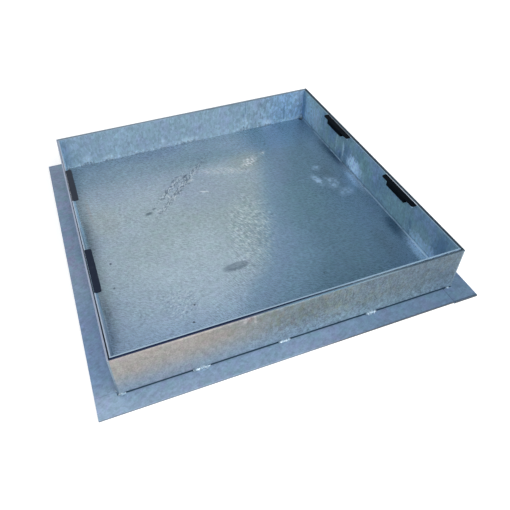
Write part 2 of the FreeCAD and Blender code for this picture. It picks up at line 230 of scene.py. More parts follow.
def flange_finish():
    """Clouded blue-grey with a faint seam at one corner, and painted light and shade: lighter at the front
    left, darker to the right, dark on the outer faces and in a line by the walls.
    """
    f = Finish("zinc_on_flange_bars")
    broad = f.cloud(0.09, 1)
    paint = f.blend(colour(118, 143, 170), colour(132, 156, 180), broad.rise(0.35, 0.65))
    paint = f.blend(paint, colour(134, 140, 174), f.cloud(0.045, 2).rise(0.5, 0.72) * 0.6)
    paint = f.blend(paint, colour(116, 150, 170), f.cloud(0.05, 3).rise(0.55, 0.8) * 0.6)
    # Painted shade, darker towards the right.
    paint = f.blend(paint, colour(104, 131, 157), f.x.rise(0.08, 0.34) * 0.55)
    left = f.x.rise(-0.3, -0.32)
    violet = f.cloud(0.022, 14, detail=3.0).rise(0.46, 0.62) * left
    paint = f.blend(paint, colour(138, 136, 172), violet * f.y.rise(-0.12, 0.02) * 0.5)
    bluish = left * f.y.rise(-0.06, -0.16) * f.y.rise(-0.31, -0.28)
    paint = f.blend(paint, colour(112, 142, 182), bluish * 0.45)
    # Painted light on the front bar, at its left.
    front = f.y.rise(-0.30, -0.33)
    paint = f.blend(paint, colour(148, 171, 195), front * f.x.rise(0.2, -0.1) * 0.7)
    paint = f.blend(paint, colour(104, 128, 146), f.y.rise(0.12, 0.34) * 0.5)
    fine = f.cloud(0.003, 4, detail=3.0, rough=0.6)
    flakes = f.spangle(0.006, 5)
    brushed = f.cloud(0.004, 7, stretch=(4, 1, 1), turn=30, detail=3.0)
    paint = f.mottle(paint, 0.014, 8, 0.7)
    blotch = f.cloud(0.009, 9, detail=3.0)
    paint = f.tone(paint, (0.35 + fine * 0.5 + flakes * 0.2 + brushed * 0.4 + blotch * 0.15) * 1.08)
    # Painted shade on the right bar, darker and bluer.
    right = f.x.rise(0.318, 0.328)
    bluer = f.tone(colour(76, 108, 134), 0.55 + fine * 0.5 + brushed * 0.4)
    paint = f.blend(paint, bluer, right * (0.15 + f.y.rise(-0.32, -0.24) * 0.45))
    paler = f.cloud(0.0017, 12, stretch=(14, 1, 1), turn=-48, detail=1.0).rise(0.6, 0.72)
    paint = f.blend(paint, colour(150, 176, 196), paler * right * 0.35)
    # Painted shade on the bars' outer faces, near black towards the right.
    outer = abs(f.x).rise(0.344, 0.347).most(abs(f.y).rise(0.347, 0.35))
    edge = f.z.rise(0.0038, 0.0033) * outer
    edge_tone = f.blend(colour(96, 112, 130), colour(8, 14, 22), f.x.rise(-0.02, 0.1))
    paint = f.blend(paint, edge_tone, edge * 0.95)
    shaded = f.y.rise(-0.3538, -0.3548) * f.x.rise(0.02, 0.2)
    paint = f.blend(paint, colour(40, 54, 70), shaded * 0.6)
    front_bar_end = 0.3023
    seam = abs(f.x - front_bar_end).rise(0.0006, 0.0004) * f.y.rise(-0.31, -0.32)
    paint = f.blend(paint, colour(128, 152, 176), seam * 0.8)
    # Painted shade in a line on the bars along the foot of the walls.
    out = abs(f.x - frame_centre[0]).most(abs(f.y - frame_centre[1])) - frame_half
    by_walls = out.rise(0.0014, 0.0004) * out.rise(-0.0030, -0.0020)
    paint = f.blend(paint, colour(40, 74, 96), by_walls * 0.95)
    rough = 0.5 + (broad - 0.5) * 0.1 + (fine - 0.5) * 0.2
    height = fine * 0.6 + flakes * 0.25 + f.cloud(0.012, 6) * 0.6
    return f.done(paint, rough, height, 0.4, 0.0004)


dress(["flange_bar_front", "flange_bar_right", "flange_bar_back", "flange_bar_left"], flange_finish())

# The frame walls. Upright plates, 3 mm thick, the side ones running past the ends of the other two. They
# hang upright in the zinc bath, so the skin has runs and crystals drawn out downwards.

# Painted light on faces where a wall and the tray stand close together, lightening the shade of the narrow
# gap between them.
painted_gap_light = colour(226, 232, 240)


def wall_finish(name, seed):
    """The grey skin that all four walls share, and the wires that their own marks are laid by."""
    f = Finish(name)
    f.runs = f.cloud(0.0036, seed + 1, stretch=(1, 1, 5), detail=3.0)
    f.flakes = f.spangle(0.005, seed + 2, stretch=(1, 1, 1.8))
    f.fine = f.cloud(0.0023, seed + 3, detail=1.0)
    f.blotch = f.cloud(0.009, seed + 10, stretch=(1, 1, 1.8), detail=3.0)
    f.paint = f.blend(colour(124, 142, 154), colour(110, 132, 150), f.cloud(0.12, seed).rise(0.35, 0.65))
    return f


def wall_done(f, seed, gain, blotched, rim, crisp):
    """Grain, painted shade along the foot, and the painted light and shade of the sawn top edge."""
    paint = f.mottle(f.paint, 0.012, seed + 9, 0.5)
    grain = (f.runs - 0.5) * 0.18 + (f.flakes - 0.5) * 0.14 + (f.fine - 0.5) * 0.58
    paint = f.tone(paint, (0.96 + grain * crisp + (f.blotch - 0.5) * blotched) * gain)
    # Painted shade along the foot, where the wall stands just off the bars, darkest at the right.
    foot = f.blend(colour(84, 100, 116), colour(20, 50, 72), f.x.rise(-0.18, -0.02))
    broken = f.cloud(0.02, seed + 11).rise(0.75, 0.5) * 0.42 + 0.55
    paint = f.blend(paint, foot, f.z.rise(0.0080, 0.0070) * broken * f.x.rise(0.316, 0.311))
    # The top edge painted with the light and shade that fall on it.
    paint = f.blend(paint, rim, f.z.rise(0.0988, 0.0993) * 0.97)
    rough = 0.45 + (f.runs - 0.5) * 0.25 + (f.fine - 0.5) * 0.15
    return f.done(paint, rough, f.runs * 0.5 + f.flakes * 0.3 + f.fine * 0.4, 0.45, 0.0004)


def front_wall_finish():
    """The plate that faces the lamp, with painted light and shade: lighter, buff and pink at its left, darker
    at its right, olive and brown between, blue at its foot.
    """
    f = wall_finish("zinc_on_front_wall", 11)
    x, z = f.x, f.z
    left = x.rise(0.02, -0.2)
    up = z.rise(0.01, 0.07)
    # Painted light and shade: lighter and warmer at the left, darker at the right, more so high up.
    paint = f.blend(colour(122, 143, 158), colour(150, 168, 184), x.rise(0.06, -0.25))
    paint = f.blend(paint, colour(160, 157, 153), left * z.rise(0.0, 0.075))
    paint = f.blend(paint, colour(110, 128, 138), x.rise(-0.12, 0.04) * up * 0.9)
    paint = f.blend(paint, colour(94, 114, 130), x.rise(0.04, 0.16) * (0.3 + up * 0.6))
    paint = f.blend(paint, colour(84, 106, 124), x.rise(0.16, 0.31) * (0.3 + up * 0.6))
    warm = f.cloud(0.035, 16).rise(0.45, 0.7)
    paint = f.blend(paint, colour(172, 160, 146), warm * left * up * 0.25)
    paint = f.blend(paint, colour(166, 154, 162), f.cloud(0.03, 17).rise(0.5, 0.75) * left * 0.25)
    middle = x.rise(-0.16, -0.04) * z.rise(0.015, 0.05) * (x.rise(0.2, 0.02) * 0.7 + 0.3)
    olive = f.cloud(0.011, 18, stretch=(1, 1, 1.7), detail=3.0).rise(0.48, 0.66)
    brown = f.cloud(0.010, 19, stretch=(1, 1, 1.7), detail=3.0).rise(0.5, 0.68)
    paint = f.blend(paint, colour(116, 132, 124), olive * middle * 0.65)
    paint = f.blend(paint, colour(128, 128, 126), brown * middle * 0.45)
    rag = (f.cloud(0.007, 20, detail=3.0) - 0.5) * 1.6
    mark = f.patch(x, z, (-0.096, 0.0925), (0.0035, 0.007), -12, 0.6, rag)
    mark = mark.most(f.patch(x, z, (-0.079, 0.089), (0.002, 0.011), 4, 0.6, rag))
    paint = f.blend(paint, colour(198, 196, 202), mark * 0.45)
    pink = f.patch(x, z, (-0.087, 0.093), (0.005, 0.006), 0, 0.6, rag)
    paint = f.blend(paint, colour(160, 132, 136), pink * 0.4)
    shaded = x.rise(-0.2, -0.15) * x.rise(0.1, 0.03) * z.rise(0.04, 0.08)
    paint = f.tint(paint, (0.88, 0.85, 0.81, 1), shaded)
    paint = f.tint(paint, (1.12, 1.1, 1.04, 1), x.rise(0.02, 0.08) * x.rise(0.3, 0.24) * z.rise(0.08, 0.05))
    # A painted highlight just under the top edge, at the left.
    under_rim = z.rise(0.0945, 0.0975) * x.rise(0.1, 0.0) * (x.rise(-0.26, -0.16) * 0.35 + 0.15)
    f.paint = f.tone(paint, 1.0 + under_rim)
    # The top edge painted with light and shade: near black at the left beside the shaded gap, paler in the
    # middle, darker at the right, with a painted highlight on its outer corner at the left.
    rim = f.blend(colour(12, 38, 80), colour(104, 134, 156), x.rise(-0.12, 0.02))
    rim = f.blend(rim, colour(120, 142, 156), x.rise(0.08, 0.14))
    rim = f.blend(rim, colour(82, 100, 114), x.rise(0.16, 0.22))
    rim = f.blend(rim, colour(170, 164, 160), f.y.rise(-0.3213, -0.3217) * left * 0.8)
    # Painted light high on the inner face, where the tray stands close and the gap would be shaded.
    near_tray = f.y.rise(-0.3199, -0.3193) * x.rise(-0.07, 0.02) * x.rise(0.24, 0.2) * z.rise(0.08, 0.096)
    f.paint = f.blend(f.paint, painted_gap_light, near_tray * 0.8)
    # Painted light low down, lifting the shade by the bars, more towards the right.
    f.paint = f.tone(f.paint, 1.0 + z.rise(0.055, 0.01) * (0.08 + x.rise(-0.25, 0.1) * 0.26))
    return wall_done(f, 11, gain=0.9, blotched=0.12, rim=rim, crisp=1.35 + x.rise(-0.16, 0.08) * 1.25)


def plain_wall_finish(name, seed, rim, by_tray=False):
    """The grey of the other three, with painted light high on the inner face of the one that the tray lies
    nearest to.
    """
    f = wall_finish(name, seed)
    if by_tray:
        # Painted light high on the inner face, where the tray stands close and the gap would be shaded.
        shut_in = f.x.rise(-0.3146, -0.3136) * f.y.rise(-0.27, -0.2) * f.z.rise(0.075, 0.095)
        f.paint = f.blend(f.paint, painted_gap_light, shut_in * 0.9)
    return wall_done(f, seed, gain=1.1, blotched=0.3, rim=rim, crisp=1.3)


dress(["frame_wall_front"], front_wall_finish())
# Top edges painted with light and shade: pale on the left wall, mid grey on the back one, dark on the right
# one.
dress(["frame_wall_left"], plain_wall_finish("zinc_on_left_wall", 21, colour(154, 164, 184), by_tray=True))
dress(["frame_wall_back"], plain_wall_finish("zinc_on_back_wall", 31, colour(126, 142, 154)))
dress(["frame_wall_right"], plain_wall_finish("zinc_on_right_wall", 41, colour(48, 66, 80)))

# The foot stitches. Short arc welds hold each wall to the bars, with a dark gap left between them. Each
# was laid as a row of small puddles, and came out of the zinc brighter than the plate.


def joined(name, pieces):
    """Pieces made one object of this name, with its place in its mesh."""
    bpy.ops.object.select_all(action="DESELECT")
    for piece in pieces:
        piece.select_set(True)
    bpy.context.view_layer.objects.active = pieces[0]
    bpy.ops.object.join()
    whole = bpy.context.object
    whole.name = name
    bpy.ops.object.transform_apply(location=True, rotation=True, scale=True)
    return whole


def melted(name, puddles, grain, smooth, passes, behind, crease):
    """Puddles of metal run into one skin, cut flat where it meets the plates behind and under it."""
    skin = joined(name, puddles)
    melt = skin.modifiers.new("melt", "REMESH")
    melt.mode = "VOXEL"
    melt.voxel_size = grain
    soft = skin.modifiers.new("soft", "SMOOTH")
    soft.factor = smooth
    soft.iterations = passes
    for modifier in ("melt", "soft"):
        bpy.ops.object.modifier_apply(modifier=modifier)
    bpy.ops.object.mode_set(mode="EDIT")
    for point, out in (((0, behind, 0), (0, 1, 0)), ((0, 0, -0.0001), (0, 0, -1))):
        bpy.ops.mesh.select_all(action="SELECT")
        bpy.ops.mesh.bisect(plane_co=point, plane_no=out, use_fill=True, clear_outer=True)
    bpy.ops.object.mode_set(mode="OBJECT")
    bpy.ops.object.shade_smooth_by_angle(angle=math.radians(crease))
    return skin


def laid_bead(name, long, leg, pitch, seed):
    """A stitch along X in the corner of two plates: overlapping puddles, melted into one rippled skin."""
    dice = random.Random(seed)
    bpy.ops.object.select_all(action="DESELECT")
    count = max(3, round((long - leg) / pitch))
    puddles = []
    for number in range(count + 1):
        along = -long / 2 + leg * 0.5 + (long - leg) * number / count
        end = min(number, count - number)
        size = leg * (0.72 if end == 0 else 0.9 if end == 1 else 1.0) * dice.uniform(0.94, 1.06)
        place = (along + dice.uniform(-0.1, 0.1) * pitch, -0.05 * leg, 0.05 * leg)
        bpy.ops.mesh.primitive_uv_sphere_add(segments=28, ring_count=16, radius=size, location=place,
                                             scale=(0.62, dice.uniform(0.95, 1.05), dice.uniform(0.92, 1.02)))
        puddles.append(bpy.context.object)
    return melted(name, puddles, grain=leg * 0.085, smooth=0.4, passes=2, behind=0.0003, crease=40)


def lay_seam(name, models, runs, turn, centre, corner):
    """Copies of models, (which, where along, stretch) each, in the corner (out, up) of one side."""
    c, s = math.cos(math.radians(turn)), math.sin(math.radians(turn))
    out, up = corner
    beads = []
    for kind, along, stretch in runs:
        bead = models[kind].copy()
        bead.data = models[kind].data.copy()
        bpy.context.scene.collection.objects.link(bead)
        bead.location = (centre[0] + along * c - out * s, centre[1] + along * s + out * c, up)
        bead.rotation_euler = (0, 0, math.radians(turn))
        bead.scale = (stretch, 1, 1)
        beads.append(bead)
    return joined(name, beads)


def weld_finish():
    """Bright zinc, darker where a fine noise is high."""
    f = Finish("zinc_on_welds")
    broad = f.cloud(0.004, 61)
    fine = f.cloud(0.0018, 62, detail=3.0, rough=0.6)
    paint = f.blend(colour(132, 156, 174), colour(184, 200, 212), broad.rise(0.4, 0.65))
    paint = f.blend(paint, colour(78, 100, 118), fine.rise(0.52, 0.64) * 0.7)
    rough = 0.4 + (fine - 0.5) * 0.3
    return f.done(paint, rough, fine + broad, 0.6, 0.0003)


weld_zinc = weld_finish()
stitch = [laid_bead(f"stitch_model_{n}", 0.023, 0.0046, 0.0017, 70 + n) for n in range(2)]
stitch.append(laid_bead("corner_stitch_model", 0.014, 0.0042, 0.0017, 75))
stitch.append(laid_bead("small_stitch_model", 0.008, 0.0034, 0.0015, 76))
foot_runs = [(2, -0.3102, 1.0), (0, -0.176, 1.4), (1, -0.026, 1.05), (0, 0.145, 1.0), (3, 0.3085, 0.9)]
for side, turn in (("front", 0), ("right", 90), ("back", 180), ("left", 270)):
    seam = lay_seam(f"foot_stitches_{side}", stitch, foot_runs, turn, frame_centre, (-frame_half, bar_thick))
    seam.data.materials.append(weld_zinc)
    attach(seam, "root")
    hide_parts(f"foot_weld_{side}")

# The tray. Its floor and both sides are one sheet, 2.5 mm thick, folded up. The floor has the fine slanting
# scratches of the rolled sheet under the zinc, dark scuffs where something was dragged, and pale bloom.

# The tray lies a little askew in the frame: its middle, and its turn in degrees.
tray_centre = (0.0012, -0.00415)
tray_turn = 0.15


def pan_finish():
    """The floor and the two folded sides, which one sheet makes, each with its own marks."""
    f = Finish("zinc_on_tray_pan")
    x, y, z = f.x, f.y, f.z
    floor = z.rise(0.0222, 0.0206)
    rag = (f.cloud(0.013, 81, detail=3.0) - 0.5) * 1.3
    drift = (f.cloud(0.08, 82) - 0.5) * 1.4
    fleck = (f.cloud(0.004, 83, detail=3.0, rough=0.6) - 0.5) * 1.6

    # The floor's broad tints, and a painted reflection: pale on the left, blue on the right.
    bed = f.blend(colour(142, 160, 178), colour(150, 168, 180), f.cloud(0.15, 84).rise(0.35, 0.65))
    for centre, size, turn, tint, share in (
            ((-0.03, -0.03), (0.17, 0.12), 0, (147, 165, 168), 0.7),
            ((-0.18, -0.21), (0.16, 0.09), 0, (140, 162, 182), 0.6),
            ((-0.1, -0.13), (0.11, 0.1), 20, (166, 184, 196), 0.6),
            ((-0.05, 0.085), (0.075, 0.04), -15, (142, 158, 178), 0.45),
            ((0.0, 0.225), (0.09, 0.03), 0, (128, 152, 160), 0.6),
            ((0.12, 0.185), (0.06, 0.03), 20, (148, 162, 160), 0.6),
            ((-0.262, 0.075), (0.034, 0.05), 0, (152, 164, 164), 0.5)):
        bed = f.blend(bed, colour(*tint), f.patch(x, y, centre, size, turn, 0.55, drift) * share)
    # Painted reflection near the back: darker at the back left and along the back end, lighter in a band in
    # front of it.
    back_left = y.rise(0.25, 0.3) * x.rise(0.05, -0.2)
    bed = f.blend(bed, colour(120, 134, 158), back_left * 0.4)
    back_band = y.rise(0.17, 0.22) * y.rise(0.285, 0.25) * x.rise(0.02, -0.1)
    bed = f.blend(bed, colour(150, 166, 172), back_band * 0.35)
    bed = f.blend(bed, colour(118, 138, 152), y.rise(0.26, 0.3) * 0.3)
    bed = f.blend(bed, colour(122, 138, 146), x.rise(-0.275, -0.302) * y.rise(-0.22, -0.12) * 0.7)
    bed = f.tint(bed, (0.88, 0.99, 1.14, 1), y.rise(-0.16, -0.27) * x.rise(0.05, -0.02) * 0.6)
    # The painted reflection: blue past a wavy line on the right, in darker, violet and bluer bands.
    divide = f.follow(y, [(-0.32, -0.100), (-0.252, -0.074), (-0.218, -0.050), (-0.191, -0.026),
                          (-0.173, -0.004), (-0.111, 0.024), (-0.021, 0.060), (0.082, 0.101),
                          (0.195, 0.152), (0.31, 0.172)])
    past = x - divide + drift * 0.004 + fleck * 0.008
    bed = f.blend(bed, colour(124, 154, 176), past.rise(-0.028, 0.034))
    bed = f.blend(bed, colour(110, 140, 160), (past + y * 0.35).rise(0.02, 0.1) * x.rise(0.285, 0.245))
    bed = f.blend(bed, colour(134, 150, 180), past.rise(0.005, 0.035) * past.rise(0.085, 0.045) * 0.3)
    bed = f.blend(bed, colour(112, 146, 160), f.patch(x, y, (0.14, -0.01), (0.06, 0.07), 0, 0.6, drift) * 0.5)
    bed = f.blend(bed, colour(108, 142, 172), x.rise(0.18, 0.26) * y.rise(0.1, -0.05) * 0.5)

    # Grain of the rolled sheet, which leans more steeply near the line where the two tints meet.
    grain_left = f.cloud(0.0021, 85, stretch=(3.2, 1, 1), turn=-31, detail=3.0, rough=0.6)
    grain_right = f.cloud(0.0020, 86, stretch=(4, 1, 1), turn=-54, detail=3.0, rough=0.6)
    near_divide = past.rise(-0.12, -0.05) * past.rise(0.08, 0.0)
    grain = grain_left + (grain_right - grain_left) * near_divide
    crystals = f.spangle(0.005, 87)

    # Scuffs where something was dragged over it, a rubbed smudge, pits, a rusty streak, handling marks, two
    # faint rings, and painted shade at the back right corner.
    lane = f.patch(x, y, (-0.066, 0.146), (0.115, 0.0085), 47.0, 0.5, rag * 0.3)
    lane = lane.most(f.patch(x, y, (-0.098, 0.142), (0.06, 0.0065), 44, 0.5, rag * 0.3))
    ticks = f.cloud(0.0026, 115, stretch=(3, 1, 1), turn=52, detail=1.0)
    drags = (
        ((-0.0560, 0.1726), (0.0097, 0.0035), 46, 1.0), ((-0.0547, 0.1577), (0.0059, 0.0041), 5, 0.8),
        ((-0.0552, 0.1437), (0.0044, 0.0032), -22, 0.8), ((-0.0625, 0.1475), (0.0049, 0.0026), 40, 0.7),
        ((-0.0745, 0.1767), (0.0066, 0.0029), 6, 0.7), ((-0.0876, 0.1647), (0.0074, 0.0036), 41, 0.8),
        ((-0.1050, 0.1359), (0.0058, 0.0021), 57, 0.7), ((-0.1141, 0.1240), (0.0055, 0.0029), 41, 0.8),
        ((-0.1219, 0.1119), (0.0067, 0.0023), 51, 0.7), ((-0.0812, 0.1244), (0.0048, 0.0026), -46, 0.6),
        ((-0.0910, 0.1148), (0.0079, 0.0020), 40, 0.6), ((-0.1062, 0.1019), (0.0093, 0.0021), 40, 0.9),
        ((-0.0302, 0.1897), (0.0078, 0.0029), 41, 0.7), ((-0.0056, 0.2280), (0.0067, 0.0037), -48, 0.6),
        ((-0.0008, 0.2114), (0.0053, 0.0038), -22, 0.6), ((-0.0299, 0.2068), (0.0089, 0.0022), 41, 0.5),
        ((-0.0220, 0.1800), (0.0046, 0.0029), -22, 0.5), ((-0.1516, 0.0850), (0.0057, 0.0032), 19, 0.8),
        ((-0.1432, 0.0653), (0.0044, 0.0024), -38, 0.6), ((-0.1660, 0.0730), (0.0085, 0.0060), 20, 0.8))
    drags = [(centre, (long * 0.85, wide * 0.7), turn, share) for centre, (long, wide), turn, share in drags]
    scuff = f.marks(x, y, 0.5, fleck * 0.7, drags, under=lane * ticks.rise(0.5, 0.57) * 0.8)
    bed = f.blend(bed, colour(58, 76, 94), scuff * 0.9)
    scored = (
        ((-0.1101, 0.1129), (0.0077, 0.0019), -75, 0.8), ((-0.0986, 0.1076), (0.0070, 0.0021), 40, 0.8),
        ((-0.0476, 0.1529), (0.0074, 0.0031), 25, 0.8), ((-0.0302, 0.1018), (0.0100, 0.0025), -22, 0.9),
        ((-0.0309, 0.1794), (0.0086, 0.0023), 41, 0.6), ((-0.0718, 0.1444), (0.0065, 0.0020), 41, 0.5),
        ((-0.1431, 0.0745), (0.0057, 0.0024), 18, 0.6))
    bared = f.marks(x, y, 0.5, fleck * 0.5, scored, under=lane * ticks.rise(0.46, 0.38) * 0.75)
    bed = f.blend(bed, colour(198, 210, 216), bared * 0.75)
    smudge = f.patch(x, y, (-0.0447, -0.1405), (0.025, 0.0095), 4, 0.4, fleck * 0.5)
    core = f.patch(x, y, (-0.043, -0.1385), (0.017, 0.0045), 4, 0.5, fleck * 0.5)
    tail = f.patch(x, y, (-0.017, -0.149), (0.006, 0.003), -10, 0.5, fleck * 0.5)
    bed = f.blend(bed, colour(96, 112, 128), (smudge * (1 - core * 0.4)).most(tail * 0.5) * 0.8)
    pits = (((-0.272, -0.0455), 0.0019), ((-0.277, -0.1105), 0.0016), ((-0.149, -0.2025), 0.0018),
            ((-0.161, -0.2395), 0.0017), ((0.002, -0.0445), 0.0012), ((0.106, -0.2165), 0.0014))
    pits = [(centre, (radius * 1.2, radius * 1.2), 0, 1.0) for centre, radius in pits]
    bed = f.blend(bed, colour(48, 60, 76), f.marks(x, y, 0.5, fleck * 0.4, pits) * 0.95)
    rust = f.patch(x, y, (-0.286, 0.128), (0.003, 0.034), 3, 0.6, fleck * 0.9)
    bed = f.blend(bed, colour(164, 148, 140), rust * 0.25)
    handled = f.patch(x, y, (-0.172, -0.190), (0.036, 0.036), 0, 0.6, rag * 0.4)
    prints = f.cloud(0.0024, 112, stretch=(2, 1, 1), turn=20, detail=1.0)
    bed = f.blend(bed, colour(104, 124, 148), handled * prints.rise(0.54, 0.64) * 0.6)
    bed = f.blend(bed, colour(186, 204, 216), handled * prints.rise(0.44, 0.36) * 0.5)
    from_ring = ((x + 0.268) ** 2 + (y + 0.185) ** 2) ** 0.5
    rings = abs(from_ring - 0.024).least(abs(from_ring - 0.033)).rise(0.0022, 0.0008)
    bed = f.blend(bed, colour(112, 130, 148), rings * f.cloud(0.02, 113).rise(0.42, 0.6) * 0.45)
    # Painted shade at the back right corner, dark as the notch there looks.
    corner_hole_shade = f.patch(x, y, (0.3045, 0.3010), (0.0052, 0.0042), 0, 0.4, fleck * 0.4)
    bed = f.blend(bed, colour(22, 32, 44), corner_hole_shade)

    # Painted glints, white bloom, painted shade below the right plugs, painted highlights along the right
    # fold, and lighter and darker stretches by the left fold.
    # Painted glints of light on the floor.
    glints = (((0.105, 0.172), (0.022, 0.012), 38, 1.0), ((0.149, 0.194), (0.008, 0.005), 40, 1.0),
              ((0.04, 0.158), (0.055, 0.012), -20, 0.45))
    glint = f.marks(x, y, 0.6, rag * 0.5, glints)
    bright = f.cloud(0.0024, 89, stretch=(4, 1, 1), turn=-58, detail=2.0)
    bed = f.blend(bed, colour(220, 224, 226), glint * (0.06 + bright.rise(0.48, 0.58) * 0.9))
    sown = near_divide * f.patch(x, y, (0.02, -0.045), (0.05, 0.1), -14, 0.6, rag * 0.4)
    bed = f.blend(bed, colour(198, 212, 216), sown * bright.rise(0.5, 0.62) * 0.6)
    bed = f.blend(bed, colour(112, 134, 146), sown * bright.rise(0.46, 0.36) * 0.45)
    blooms = (((0.2436, 0.0895), (0.009, 0.008), 0, 0.8), ((0.225, 0.0455), (0.008, 0.020), 12, 1.0),
              ((0.253, 0.026), (0.013, 0.022), 0, 0.8), ((0.266, -0.014), (0.016, 0.011), 10, 0.7))
    bloom = f.marks(x, y, 0.6, rag * 0.6 + fleck * 0.5, blooms)
    flaked = 0.16 + f.cloud(0.0065, 114, detail=3.0).rise(0.43, 0.55) * 0.84
    bed = f.blend(bed, colour(164, 196, 226), bloom * flaked)
    # Painted shade on the floor below the two right plugs.
    shade_below_plugs = f.patch(x, y, (0.309, 0.12), (0.013, 0.056), 2, 0.6, rag * 0.4 + fleck * 0.4)
    shade_below_plugs = shade_below_plugs.most(f.patch(x, y, (0.306, -0.158), (0.017, 0.037), 0, 0.6, rag * 0.4 + fleck * 0.2))
    bed = f.blend(bed, colour(54, 86, 114), shade_below_plugs * 0.8)
    # Painted highlights on the floor along the right fold.
    fold_highlight_front = f.patch(x, y, (0.307, -0.262), (0.012, 0.072), 0, 0.6, rag * 0.4 + fleck * 0.12)
    bed = f.blend(bed, colour(184, 216, 242), fold_highlight_front * 0.85)
    fold_highlight_middle = f.patch(x, y, (0.306, 0.02), (0.010, 0.055), 0, 0.6, rag * 0.4 + fleck * 0.15)
    bed = f.blend(bed, colour(160, 188, 212), fold_highlight_middle * 0.75)
    by_fold = x.rise(-0.3030, -0.3052)
    bed = f.blend(bed, colour(134, 166, 186), by_fold * y.rise(0.0, 0.03) * y.rise(0.09, 0.075) * 0.6)
    bed = f.blend(bed, colour(88, 110, 118), by_fold * y.rise(-0.05, -0.04) * y.rise(0.014, 0.006) * 0.7)

    # Mottling, grain and fine scratches over all of the floor.
    bed = f.mottle(bed, 0.02, 96, 0.32)
    sharp = near_divide * 0.65 + 1
    lit = past.rise(0.02, -0.04)
    lines = f.cloud(0.0016, 101, stretch=(16, 1, 1), turn=-24, detail=1.0).rise(0.6, 0.72) * (lit * 0.7 + 0.3)
    pale_lines = f.cloud(0.0018, 102, stretch=(12, 1, 1), turn=-38, detail=1.0).rise(0.62, 0.74)
    uneven = f.cloud(0.03, 103).rise(0.35, 0.65) * 0.5 + 0.75
    beside = x.rise(0.2, 0.29) * 0.46
    shade = (grain - 0.5) * (0.95 + lit * 0.2 - beside) * sharp * uneven
    shade = shade + (crystals - 0.5) * 0.16 + (f.cloud(0.006, 97, detail=3.0) - 0.5) * 0.2
    bed = f.tone(bed, shade + 0.98 - lines * (1 - near_divide) * 0.16 + pale_lines * 0.12)

    # The folded-up sides: runs and crystals drawn out downwards.
    runs = f.cloud(0.0045, 92, stretch=(1, 1, 4), detail=3.0)
    side_fine = f.cloud(0.0024, 90, detail=3.0, rough=0.6)
    side_rag = (f.cloud(0.012, 93, stretch=(1, 1, 1.6), detail=3.0) - 0.5) * 1.3
    greener = f.cloud(0.04, 91, stretch=(1, 1, 1.5)).rise(0.4, 0.65)
    bluer = f.cloud(0.03, 94, stretch=(1, 1, 1.5)).rise(0.5, 0.7)
    side = f.blend(colour(80, 107, 128), colour(92, 119, 130), greener)
    side = f.blend(side, colour(98, 118, 150), bluer * 0.6)
    right = x.rise(0.28, 0.30)
    torn = side_rag + (f.cloud(0.0045, 123, stretch=(1, 1, 1.4), detail=3.0, rough=0.6) - 0.5) * 2.6
    for centre, size, tint, share in (
            ((0.034, 0.040), (0.031, 0.019), (140, 166, 190), 1.0),
            ((0.09, 0.05), (0.003, 0.022), (132, 156, 172), 0.9),
            ((0.123, 0.062), (0.003, 0.020), (120, 146, 160), 0.8),
            ((0.10, 0.032), (0.004, 0.010), (56, 84, 110), 0.7),
            ((0.077, 0.055), (0.009, 0.022), (66, 92, 116), 0.6),
            ((0.232, 0.055), (0.026, 0.03), (120, 138, 156), 0.6),
            ((0.27, 0.05), (0.024, 0.04), (118, 144, 160), 0.7),
            ((-0.183, 0.045), (0.006, 0.022), (60, 88, 114), 0.6),
            # Painted shade in the back right corner.
            ((0.302, 0.06), (0.01, 0.045), (62, 92, 122), 0.7),
            ((-0.275, 0.05), (0.026, 0.045), (66, 92, 118), 0.7),
            ((-0.13, 0.04), (0.05, 0.035), (96, 127, 134), 0.6),
            ((-0.01, 0.058), (0.028, 0.03), (88, 118, 124), 0.6),
            ((-0.235, 0.03), (0.045, 0.014), (122, 148, 170), 0.7),
            ((0.0, 0.075), (0.03, 0.015), (84, 116, 124), 0.5)):
        side = f.blend(side, colour(*tint), f.patch(y, z, centre, size, 0, 0.5, torn) * share * right)
    back_plug, front_plug = 0.123, -0.133
    from_plug = abs(y - back_plug).least(abs(y - front_plug))
    under_plug = from_plug.rise(0.047, 0.043) * z.rise(0.0842, 0.0862) * f.cloud(0.006, 124).rise(0.42, 0.56)
    side = f.blend(side, colour(176, 196, 210), under_plug * 0.7 * right)
    broken = f.cloud(0.012, 100, detail=3.0).rise(0.35, 0.55)
    above_fold = z.rise(0.0226, 0.0232) * z.rise(0.0258, 0.0246)
    side = f.blend(side, colour(50, 72, 96), above_fold * (0.35 + broken * 0.4) * right)
    # The left side painted lighter, as the lit one, with painted shade low down by the fold.
    left = x.rise(-0.28, -0.30)
    side = f.blend(side, colour(108, 134, 154), left * 0.9)
    side = f.blend(side, colour(106, 116, 130), left * y.rise(-0.17, -0.23) * 0.8)
    side = f.blend(side, colour(70, 90, 104), left * z.rise(0.045, 0.03) * y.rise(0.05, 0.0) * 0.6)
    dark = f.patch(y, z, (-0.018, 0.062), (0.026, 0.05), 0, 0.4, side_rag)
    side = f.blend(side, colour(64, 80, 90), dark * 0.75 * left)
    grey = f.patch(y, z, (-0.066, 0.07), (0.012, 0.05), 0, 0.5, side_rag)
    side = f.blend(side, colour(112, 122, 128), grey * 0.8 * left)
    streaks = f.cloud(0.004, 98, stretch=(1, 1, 3), detail=2.0).rise(0.56, 0.64) * y.rise(-0.04, 0.04) * left
    side = f.blend(side, colour(170, 196, 212), streaks * 0.6)
    side = f.mottle(side, 0.013, 99, 0.4)
    side_shade = 0.25 + runs * 0.66 + crystals * 0.34 + side_fine * 0.66
    # Painted light: the left side brighter still, as the lit one.
    side = f.tone(side, side_shade * (1.95 + left * 0.35 + right * y.rise(0.17, 0.22) * 0.3))

    # Both on one sheet: a painted highlight on the right fold, painted light in the gap by the left wall, and
    # the top edge painted with light and shade.
    paint = f.blend(side, bed, floor)
